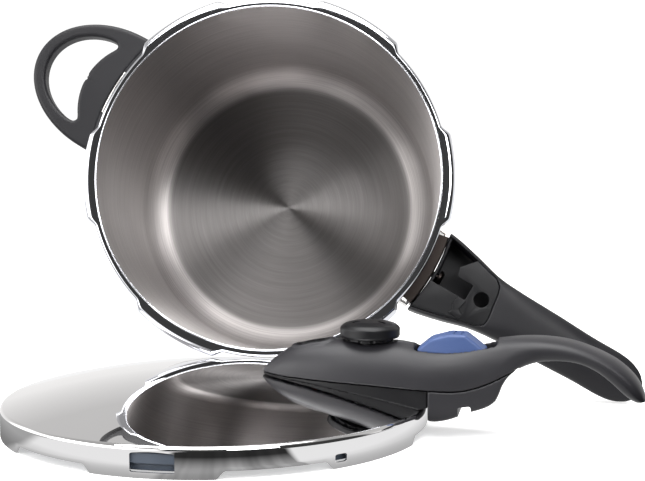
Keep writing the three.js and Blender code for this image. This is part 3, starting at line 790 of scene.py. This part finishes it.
LID_RADIUS = 123.5
SHEET = 1.2
SHOULDER_RADIUS = 121.5
SHOULDER_HEIGHT = 16.6
DOME_RISE = 15.6
SKIRT_STEP = 4.3
TAB_HALF = 15.2                        # degrees
TAB_RAMP = 2.6
LIP_HALF = 10.6
LIP_RAMP = 1.6
KNOB = (91, 0)
INDICATOR = (60, 0)
INNER_SCREW = (40, 0)
OUTER_SCREW = (74, 0)
SAFETY_PLUG = (60, 62)


def dome(r):
    return SHOULDER_HEIGHT + DOME_RISE * (1 - (r / SHOULDER_RADIUS) ** 2)


def lid_profile():
    """(radius, height) points of the lid, from the top of the dome round the skirt and back."""
    outside = [(r, dome(r)) for r in np.linspace(0, 119.4, 44)]
    shoulder = rounded([(119.4, dome(119.4)), (LID_RADIUS, dome(LID_RADIUS), 2.6), (LID_RADIUS, 9)], 2.6,
                       closed=False)[1:-1]
    skirt = [(LID_RADIUS, 9), (LID_RADIUS, 6.5)]
    foot = [(LID_RADIUS, 0.6), (LID_RADIUS - 0.16, 0.2), (LID_RADIUS - 0.6, 0)]
    inner = LID_RADIUS - SHEET
    lip = [(inner, 0), (inner, 0.0), (inner, 0.5), (inner, 1.1), (inner, 1.2)]
    back = [(inner, 1.9), (inner, 6.5), (inner, 9)]
    bend = rounded([(inner, 9), (inner, dome(LID_RADIUS) - SHEET, 1.6), (118, dome(118) - SHEET)], 1.6,
                   closed=False)[1:]
    under = [(r, dome(r) - SHEET) for r in np.linspace(114, 0, 30)]
    profile = outside + shoulder + skirt + foot + lip + back + bend + under
    first = len(outside + shoulder + skirt)
    return profile, first, first + len(foot), first + len(foot + lip)


def make_lid():
    """The pressing: six deep skirt sections, each with a bayonet lip turned in at its foot."""
    profile, foot, lip, back = lid_profile()
    reach = [0.05, 5.4, 5.8, 5.8, 0.05]
    apart = 0.001                      # keeps the points of a section without a lip from merging

    def shape(angle, index):
        if index < foot or index > back:
            return 0, 0
        lift = SKIRT_STEP * (1 - sixfold(angle, 30, TAB_HALF, TAB_RAMP))
        if index < lip or index == back:
            return 0, lift
        inwards = reach[index - lip] * sixfold(angle, 30, LIP_HALF, LIP_RAMP)
        return -inwards - apart * (index - lip), lift

    angles = fine_angles(30, 11, TAB_HALF + TAB_RAMP + 0.5, 14)
    body = turned(profile, LID, shape=shape, angles=angles)
    inner, outer = LID_RADIUS - 5, LID_RADIUS + 6
    window = rounded([(-94.8, 3.2), (-84, 3.2), (-84, 12.9, 1.1), (-89.4, 13.9, 20), (-94.8, 12.9, 1.1)],
                     0.7)
    window = radial_cutter(window, inner, outer)
    small_hole = radial_cutter(oblong(-45.2, -41.8, 3.4, 7.6, 0.9), inner, outer)
    bores = drills(0, 60, (5.5, KNOB, 48), (4.5, INDICATOR, 48), (2.6, INNER_SCREW, 32),
                   (2.6, OUTER_SCREW, 32), (7, SAFETY_PLUG, 64))
    body = cut(body, window, small_hole, *bores)
    finish_piece(body, "lid_pressing", ["lid_shell"], "lid", LID_POLISHED, sharp=35)


def radial_cutter(outline, inner, outer):
    """An outline in (degrees, height), swept outwards from the lid's axis."""
    return shell([[polar(radius, a, z) for a, z in outline] for radius in (inner, outer)], LID)


def drills(low, high, *sizes):
    """Cutters for round holes in the lid's pieces, each given as (radius, centre, segments)."""
    return [cylinder(radius, low, high, LID, at, segments) for radius, at, segments in sizes]


def make_gasket():
    ring = spun([(108.5, 7.0, 0.5), (112, 3.8), (118.8, 2.8), (119.2, 6.4), (121.9, 7.2), (121.9, 12.4),
                 (119, 14.4), (113, 14.4), (112, 12.6, 0.4), (117.6, 11.8), (117.6, 9.4)], 0.9, LID, 288)
    finish_piece(ring, "gasket_ring_rubber", ["gasket"], "gasket_ring", GREY_RUBBER)


# ---------------- handle of the lid

SEAM = [(20, 32.8), (31, 32.2), (60, 31), (92, 29.6), (126, 27.4), (142, 27.4), (151, 29.2), (160, 32.6),
        (168, 36.8), (176, 41.2)]


def lid_hull(inset=0.0, lift=0.0):
    """The lid handle's outer form, from its pointed nose over the valve to the drooping grip."""
    half = rail([(28, 1.2), (30, 4.4), (34, 8), (42, 12), (60, 16.4), (80, 19), (112, 19), (135, 17.6),
                 (160, 15.2), (185, 14.3), (205, 14.6), (222, 15.2), (232, 14.8), (238, 13.4), (242, 10.6),
                 (244.4, 5)])
    top = rail([(28, 33.6), (31, 36.4), (36, 41.2), (43, 46.2), (50, 49.2), (60, 51.4), (71, 52.6),
                (90, 53.2), (108, 52.6), (120, 50.8), (134, 50), (148, 52), (162, 55.4), (176, 57.2),
                (190, 57.4), (204, 55.6), (219, 50.6), (230, 45), (238, 38.2), (242, 32.6), (244.4, 26.6)])
    low = rail([(28, 31.2), (40, 28), (118, 12), (128, 9.6), (136, 10.6), (150, 15.6), (158, 18.4),
                (163, 22), (167, 31.5), (171, 37), (176, 40.4), (184, 43.2), (196, 44), (208, 43),
                (217, 39.4), (226, 32.4), (234, 25.8), (240, 23), (244.4, 23.4)])
    belly = rail([(28, 32.6), (60, 33), (126, 30), (160, 36), (176, 48), (198, 50.4), (219, 45), (238, 31),
                  (244.4, 25)])
    upper_power = rail([(28, 2), (60, 2.1), (100, 2.3), (130, 2.5), (160, 2.5), (200, 2.7), (244.4, 2.3)])
    lower_power = rail([(28, 3), (100, 8), (165, 8), (180, 3.4), (244.4, 2.6)])
    stations = [28.2, 28.8, 29.6, 30.6] + list(np.linspace(32, 158, 64)) + list(np.linspace(159, 174, 24))
    stations += list(np.linspace(176, 234, 34)) + list(np.linspace(235.2, 244.2, 18))
    rings = []
    for x in stations:
        wide = max(half(x) - inset, 0.4)
        rings.append(superellipse(x, wide, top(x) + lift, low(x), belly(x), upper_power(x), lower_power(x)))
    return shell(rings, LID)


def above_seam(gap):
    """Everything in and beyond the lid handle that is higher than the seam by the gap."""
    line = [(x, z + gap) for x, z in spline(SEAM, 6)]
    return upright(line + [(176.2, 20), (290, 20), (290, 120), (20, 120)], 50, LID)


def slider_space():
    """The slot that the lock slider runs in."""
    return prism(oblong(117, 163.4, -9.6, 9.6, 2.2), [(43.6, 0), (90, 0)], LID)


def make_lid_handle_top():
    body = common(lid_hull(), above_seam(0.4))
    plan = rounded(mirrored([(50, 9), (76, 14.5), (112, 15), (150, 12), (157, 11)]), 3)
    side = [(46, 18), (50, 38), (76, 42), (112, 42), (118, 39), (150, 39), (158, 37), (158, 18)]
    inside = common(prism(plan, [(18, 0), (70, 0)], LID), upright(side, 40, LID))
    outline = oblong(47.6, 68.4, -5.6, 5.6, 5.4)
    collar = common(lid_hull(lift=1.1), prism(outline, [(44, 1.9), (70, 1.9)], LID))
    oval = prism(outline, [(45.4, -1.2), (49.5, 0), (90, 0.6)], LID)
    grip = grip_hollow()
    channel = block(128.5, 142, -4.7, 4.7, 0, 70, LID)
    bores = drills(52, 90, (14.4, KNOB, 96)) + drills(20, 90, (9.2, KNOB, 96), (2.9, INDICATOR, 32))
    bores += drills(20, 40.6, (2.3, INNER_SCREW, 24))
    body = join(cut(body, inside), collar)
    body = melted(cut(body, slider_space(), oval, channel, grip, *bores), 0.62, 4)
    finish_piece(body, "lid_handle_upper", ["lid_handle_top"], "lid", PHENOLIC, sharp=0)
    # A thin black sheet lining the oval recess: painted shade, as dark as the shade inside the recess.
    cup = cut(prism(outline, [(45, -1), (49.5, 0.2), (60, 0.3)], LID),
              prism(outline, [(45.8, -1.7), (49.5, -0.5), (90, 0.1)], LID),
              *drills(40, 60, (2.5, INDICATOR, 48)))
    finish_piece(common(cup, lid_hull(lift=0.8)), "indicator_recess_painted_shade", ["lid_handle_top"], "lid", BLACK)


def grip_hollow():
    """The hollow under the grip, with a lip left all round it."""
    half = rail([(176, 4), (182, 9.4), (196, 11), (214, 11.4), (228, 10.6), (236, 7)])
    floor = rail([(176, 44), (182, 47.6), (196, 50), (208, 49), (220, 43.6), (230, 37), (236, 31)])
    rings = []
    for r in np.linspace(177, 235.5, 26):
        w, z = half(r), floor(r)
        ring = []
        for k in range(33):
            a = math.pi * k / 32
            ring.append((r, w * math.cos(a), z - 9 + 9 * math.sin(a) ** 0.8))
        ring += [(r, -w, z - 40), (r, w, z - 40)]
        rings.append(ring)
    return shell(rings, LID)


def make_lid_handle_base():
    """The lower moulding, which follows the dome."""
    below = [(r, dome(r) - 0.45) for r in np.linspace(30, 121, 24)]
    seam = [(x, z - 0.35) for x, z in spline(SEAM[:5], 6)][::-1]
    profile = below + [(125.7, 17.6), (125.7, seam[0][1])] + seam
    body = common(lid_hull(2.6), upright(profile, 40, LID))
    plan = rounded(mirrored([(70, 13.5), (128, 13)]), 3)
    floor = common(prism(plan, [(0, 0), (70, 0)], LID),
                   upright([(70, 28.4), (70, 60), (129, 60), (129, 24.6)], 40, LID))
    bores = drills(0, 80, (10.5, KNOB, 64), (5.4, INDICATOR, 32), (2.9, INNER_SCREW, 24),
                   (2.9, OUTER_SCREW, 24))
    body = melted(cut(body, floor, *bores, block(102, 127, -7.8, 7.8, 0, 26, LID)), 0.55, 3)
    finish_piece(body, "lid_handle_lower", ["lid_handle_base"], "lid", BLACK, sharp=0)


def make_lid_handle_foot():
    """The outer foot, which stands over the skirt and carries the lock bolt."""
    seam = [(x, z - 0.25) for x, z in spline(SEAM, 6) if x >= 126]
    lower = [(126, 9.4), (129, 9.0), (133, 9.8), (136, 10.6), (142.6, 11.6), (142.6, 18.6), (149.6, 19.4),
             (149.6, 15.6), (155, 16.8), (159.4, 18.6), (163.2, 22.6), (167, 31), (171.2, 36.4), (175, 39.2)]
    profile = rounded([p + (0.5,) for p in lower] + [p + (0,) for p in seam[::-1] if p[0] < 174.6], 0)
    body = common(lid_hull(), upright(profile, 40, LID))
    body = melted(cut(body, block(128.5, 141, -4.7, 4.7, 0, 60, LID)), 0.5, 3)
    finish_piece(body, "lid_handle_outer_foot", ["lid_handle_foot"], "lid", PHENOLIC, sharp=0)


def make_slider():
    """The blue lock slider with its chamfered top."""
    profile = rounded([(119, 44.6), (157, 44.6), (157, 49.4, 1.5), (151.6, 53.8, 4), (146, 58, 3),
                       (137, 58.2, 9), (126, 55.2, 9), (119, 49.4, 1.5)], 0.8)
    rings = []
    half = 9.15
    for y, inset in ((-half, 1.6), (-half + 0.25, 0.8), (-half + 0.9, 0.22), (-half + 1.8, 0),
                     (half - 1.8, 0), (half - 0.9, 0.22), (half - 0.25, 0.8), (half, 1.6)):
        rings.append([(x, y, z) for x, z in offset(profile, -inset)])
    grooves = []
    for k in range(4):
        x = 130.5 + 4.2 * k
        grooves.append(upright(oblong(x, x + 1.3, 57.4, 70, 0.3), 6.2, LID))
    body = join(cut(shell(rings, LID), *grooves), block(129.3, 134.5, -4.1, 4.1, 31.5, 46, LID))
    finish_piece(body, "lock_slider_blue", ["lock_slider"], "slider", BLUE)


# ---------------- valve, indicator and small parts


def make_knob():
    body = spun([(0, 55.4), (6.2, 55.4, 0.2), (6.2, 37.4, 0.4), (8.6, 37.4, 0.4), (8.6, 52.2, 0.6),
                 (13.4, 52.4, 0.8), (13.4, 54.3, 0.5), (16.2, 54.3, 0.9), (17, 55.6, 1), (17, 60.0, 1.4),
                 (14.8, 61.9, 4), (9, 63.4, 8), (0, 64)], 0.5, LID, 128, KNOB)
    tools = drills(50, 54.2, *[(1.9, at, 20) for at in arc(*KNOB, 14.4, 15, 345, 11)])
    for angle in (90, 210, 330):
        place = LID @ Matrix.Translation((*KNOB, 0)) @ about_z(angle) @ Matrix.Translation((8.4, 0, 0))
        mark = oblong(-1.1, 1.1, -2.6, 2.6, 1.0)
        tools.append(prism(mark, [(62.5, 0), (70, 0)], place @ about_z(90)))
    finish_piece(cut(body, *tools), "valve_dial", ["valve_knob"], "knob", BLACK)


def make_valve_parts():
    top = dome(KNOB[0])
    seat = spun([(2, 10.6), (5, 10.6), (5, top + 1.9), (8, top + 1.9), (8, top + 4), (5.4, top + 4),
                 (5.4, 34), (4.4, 36), (2, 36)], 0.3, LID, 96, KNOB)
    finish_piece(seat, "valve_nozzle", ["valve_seat"], "lid", FASTENER)
    under = top - 3.4
    nut = prism(rounded(arc(*KNOB, 9.4, 0, 300, 5), 0.8), soft_levels(under - 4.2, under, 0.5), LID)
    nut = cut(nut, *drills(0, 60, (5.3, KNOB, 64)))
    finish_piece(nut, "valve_hex_nut", ["valve_nut"], "lid", FASTENER)
    cap = spun([(0, 6.8), (6.6, 6.8, 0.8), (7.4, 7.6), (7.4, 14.6), (5.4, 14.6), (5.4, 8.6, 0.6), (0, 8.6)],
               0.3, LID, 96, KNOB)
    holes = [(0.8, at, 16) for at in arc(*KNOB, 3.4, 0, 300, 5)]
    holes += [(0.55, at, 16) for at in arc(*KNOB, 1.4, 0, 240, 2)]
    finish_piece(cut(cap, *drills(5, 10, *holes)), "valve_strainer", ["valve_filter"], "lid", FASTENER)
    plug = spun([(0, 34.4), (1.5, 35.4), (1.6, 36.3), (5.6, 36.3), (5.6, 40), (2.4, 40), (2.4, 44), (0, 44)],
                0.25, LID, 64, KNOB)
    finish_piece(plug, "valve_cone", ["valve_plug"], "plug", FASTENER)


def make_seals():
    top = dome(INDICATOR[0])
    seal = spun([(2.4, top - 4), (6.4, top - 4), (6.4, top - 2.5), (4.1, top - 2.4), (4.1, top + 1.1),
                 (5, top + 1.2), (5, top + 2), (2.4, top + 2)], 0.3, LID, 64, INDICATOR)
    finish_piece(seal, "indicator_grommet", ["indicator_seal"], "lid", RED_RUBBER)
    pin = spun([(0, top - 11), (4, top - 11), (4, top - 9.6), (2, top - 9.4), (2, 44.8), (1.4, 45.6),
                (0, 45.6)], 0.35, LID, 64, INDICATOR)
    finish_piece(pin, "indicator_plunger", ["indicator_pin"], "indicator", RED_RUBBER)
    top = dome(math.hypot(*SAFETY_PLUG))
    plug = spun([(0, top - 6), (9.4, top - 6), (9.4, top - 4), (6.6, top - 3.6), (6.6, top + 1.7),
                 (8.4, top + 1.9), (8.4, top + 2.6), (7, top + 3.6), (0, top + 3.8)], 0.4, LID, 96,
                SAFETY_PLUG)
    finish_piece(plug, "safety_valve_plug", ["safety_plug"], "lid", GREY_RUBBER)


def spring(name, node, place, body, radius, wire, length, turns):
    """A coil of round wire along z."""
    count = turns * 28
    rings = []
    for k in range(count + 1):
        degrees = 360 * turns * k / count
        section = arc(radius, length * k / count, wire, 0, 324, 9)
        rings.append([polar(out, degrees, z) for out, z in section])
    return finish_piece(shell(rings, place), name, [node], body, FASTENER)


def screw_along(place, head, head_length, shank, end, slot_depth, name, node, body, material=FASTENER):
    """A raised-head screw along z: the head's face is at z = 0 and the shank runs to z = end."""
    screw = spun([(0, 0), (head * 0.7, 0.05, 1.0), (head, head_length * 0.5, 0.8), (head, head_length),
                  (shank, head_length), (shank, end - 0.6), (shank - 0.5, end), (0, end)], 0.25, place, 64)
    slots = [block(-head * 0.6, head * 0.6, -0.5, 0.5, -1, slot_depth, place),
             block(-0.5, 0.5, -head * 0.6, head * 0.6, -1, slot_depth, place)]
    finish_piece(cut(screw, *slots), name, [node], body, material)


def make_screws():
    for name, node, at, top in (("screw_inner", "lid_screw_inner", INNER_SCREW, 40),
                                ("screw_outer", "lid_screw_outer", OUTER_SCREW, 31)):
        under = dome(at[0]) - SHEET - 1.2
        place = LID @ Matrix.Translation((*at, under - 2.4))
        screw_along(place, 4.2, 2.4, 2, top - under + 2.4, 1.2, name, node, "lid")
    place = lying(LONG_HANDLE, 129, LONG_SCREW_AT, -90)
    screw_along(place, 5, 3.4, 2, 16, 1.4, "long_handle_screw", "pot_handle_screw", "pot", GUARD)
    place = lying(LOOP_HANDLE, 135.7, LOOP_SCREW_AT, -90)
    screw_along(place, 5, 2.3, 2, 22.2, 1.2, "loop_handle_screw", "side_handle_screw", "pot")


def make_lock_parts():
    bolt = prism(oblong(129.2, 133.4, -4.2, 4.2, 0.4), soft_levels(11.4, 31, 0.4), LID)
    finish_piece(bolt, "lock_bolt_bar", ["lock_bolt"], "bolt", FASTENER)
    coil = spring("lock_return_spring", "lock_spring", lying(LID, 134.2, 22), "bolt", 1.9, 0.4, 5.9, 4)
    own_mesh(coil)
    place = LID @ Matrix.Translation((*KNOB, 40.9))
    coil = spring("valve_coil_spring", "valve_spring", place, "lid", 4.1, 0.5, 13.5, 5)
    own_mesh(coil)
    outline = rounded([(104, 22.6), (118, 19.4), (124.6, 19.4), (124.6, 25.4), (123, 25.4), (123, 22.2),
                       (104, 24.6)], 0.3)
    strap = common(upright(outline, 7, LID), block(100, 130, -7, 7, 0, 60, LID))
    strap = cut(strap, cylinder(2.4, 0, 60, LID, (112, 0), 32))
    finish_piece(strap, "lid_handle_strap", ["lid_strap"], "lid", FASTENER)


# ---------------- studio

# How bright each part of the room is.
LEFT = 1.7
LEFT_ABOVE = 0.3                       # as a share of LEFT, for the part higher up
BACK_LOW = 0.92
BACK_HIGH = 0.6
DARK = 0.05
TOP_FRONT = 0.35
TOP_BACK = 0.55


def add_camera():
    """The photograph's view: a long lens a little above the lid."""
    lens = bpy.data.cameras.new("camera")
    lens.sensor_width = 36
    lens.lens = 72.5581
    lens.clip_start = 0.01
    camera = linked("camera", lens)
    camera.location = (-0.00547, -0.82938, 0.1741)
    camera.rotation_euler = (math.radians(90 - 5.045), 0, 0)
    bpy.context.scene.camera = camera


def softbox(name, where, towards, width, height, power):
    light = bpy.data.lights.new(name, "AREA")
    light.shape = "RECTANGLE"
    light.size, light.size_y = width, height
    light.energy = power
    lamp = linked(name, light)
    lamp.location = where
    lamp.rotation_euler = (Vector(towards) - Vector(where)).to_track_quat("-Z", "Y").to_euler()


class WorldNodes(Nodes):
    """The same short way to write the world's nodes."""

    def __init__(self, world):
        world.use_nodes = True
        self.tree = world.node_tree
        self.shader = self.tree.nodes["Background"]


def add_world():
    """A studio with a wide softbox on the left, a dark room on the right, and grey overhead.

    The camera itself sees a white backdrop.
    """
    world = bpy.data.worlds.new("studio")
    bpy.context.scene.world = world
    n = WorldNodes(world)
    way = n.split(n.add("TexCoord").outputs["Generated"])
    turn = n.bearing(way)
    left = n.times(n.step(turn, -134, -122), n.step(turn, -20, -28))
    left = n.times(left, n.between(n.step(way[2], 0.42, 0.56), 0, 1, 1.0, LEFT_ABOVE))
    back = n.plus(n.step(turn, 84, 96), n.step(turn, -122, -134))
    fade = n.between(way[2], 0.12, 0.42, BACK_LOW, BACK_HIGH)
    low = n.plus(n.times(left, LEFT), n.times(back, fade))
    low = n.plus(low, DARK)
    overhead = n.step(way[2], 0.62, 0.80)
    high = n.between(way[1], -1.0, 1.0, TOP_FRONT, TOP_BACK)
    strength = n.plus(n.times(low, n.less(1.0, overhead)),
                      n.times(high, overhead))
    n.feed(n.shader.inputs["Color"], (1, 0.99, 0.98, 1))
    n.feed(n.shader.inputs["Strength"], strength)
    white = n.add("Background", {"Color": (1, 1, 1, 1), "Strength": 1.05})
    n.show(white, n.shader, "World Output")


def add_floor():
    """A pale table, which glows a little so that the camera sees it evenly white. For every other ray it
    glows in broad painted zones, bright and dark by bearing and distance from the lid as though lit by the
    softbox: painted reflections in the steel, with painted shade close to the lid.
    """
    mesh = bpy.data.meshes.new("floor")
    mesh.from_pydata([(-9, -6, 0), (9, -6, 0), (9, 12, 0), (-9, 12, 0)], [], [(0, 1, 2, 3)])
    floor = linked("floor", mesh)
    n = Nodes("floor")
    where = n.place()
    tone = n.noise(where, 3.0, 2.0)
    n.set(Base_Color=n.mix(tone, (0.93, 0.93, 0.93), (0.95, 0.95, 0.95)), Roughness=0.7)
    depth = n.split(where)[1]
    n.set(Emission_Color=(1, 1, 1, 1), Emission_Strength=n.between(depth, 0.1, 1.2, 0.46, 0.75))
    # Painted reflection: what other rays see of the floor glows bright or dark by bearing and distance from
    # the lid.
    from_lid = n.vector("SUBTRACT", where, tuple(LID.translation))
    turn = n.bearing(n.split(from_lid))
    far = n.vector("LENGTH", from_lid)
    end = n.between(n.step(far, 0.20, 0.26), 0, 1, 0.0, 62.0)
    right = n.step(n.less(turn, end), 26, 29)
    beside = n.times(n.step(turn, -112, -100), n.step(turn, -58, -66))
    streak = n.noise(n.joined(x=turn), 0.16, 2.0)
    # A painted dark band in the reflection, farther out from the lid and streaked by noise.
    painted_dark_band = n.times(n.between(far, 0.132, 0.168, 0.62, 0.03), n.between(streak, 0.3, 0.7, 0.6, 1.4))
    painted_dark_band = n.less(1.0, n.times(n.step(turn, -11, -8), n.less(1.0, painted_dark_band)))
    painted_reflection_glow = n.times(n.between(beside, 0, 1, 1.0, 0.45), painted_dark_band)
    painted_reflection_glow = n.math("MAXIMUM", painted_reflection_glow, right)
    # Painted shade: the glow is halved close to the lid, like a contact shadow in the reflection.
    painted_reflection_glow = n.times(painted_reflection_glow, n.between(far, 0.1235, 0.150, 0.5, 1.0))
    # This glow is no lamp: it paints the reflections in the steel, and it also lights the parts near it.
    mirrored = n.add("Emission", {"Color": (1, 1, 1, 1), "Strength": painted_reflection_glow})
    n.show(n.shader, mirrored, "Material Output")
    floor.data.materials.append(n.material)


def add_studio():
    add_world()
    add_floor()
    softbox("left_softbox", (-1.3, -0.7, 0.45), (0, 0, 0.12), 1.3, 0.9, 10.5)
    softbox("right_softbox", (0.6, -1.6, 0.8), (0, 0, 0.14), 0.8, 0.5, 11)
    softbox("front_softbox", (-0.1, -1.0, 1.0), (0, 0, 0.1), 0.9, 0.4, 6.5)
    softbox("top_softbox", (-0.1, -0.25, 1.5), (0, 0, 0), 1.6, 1.2, 36)
    bpy.context.scene.view_settings.view_transform = "Standard"


add_camera()
add_studio()
make_pot_body()
make_base()
make_long_handle()
make_handle_insert()
make_handle_root()
make_loop_handle()
make_lid()
make_gasket()
make_lid_handle_top()
make_lid_handle_base()
make_lid_handle_foot()
make_slider()
make_knob()
make_valve_parts()
make_seals()
make_screws()
make_lock_parts()
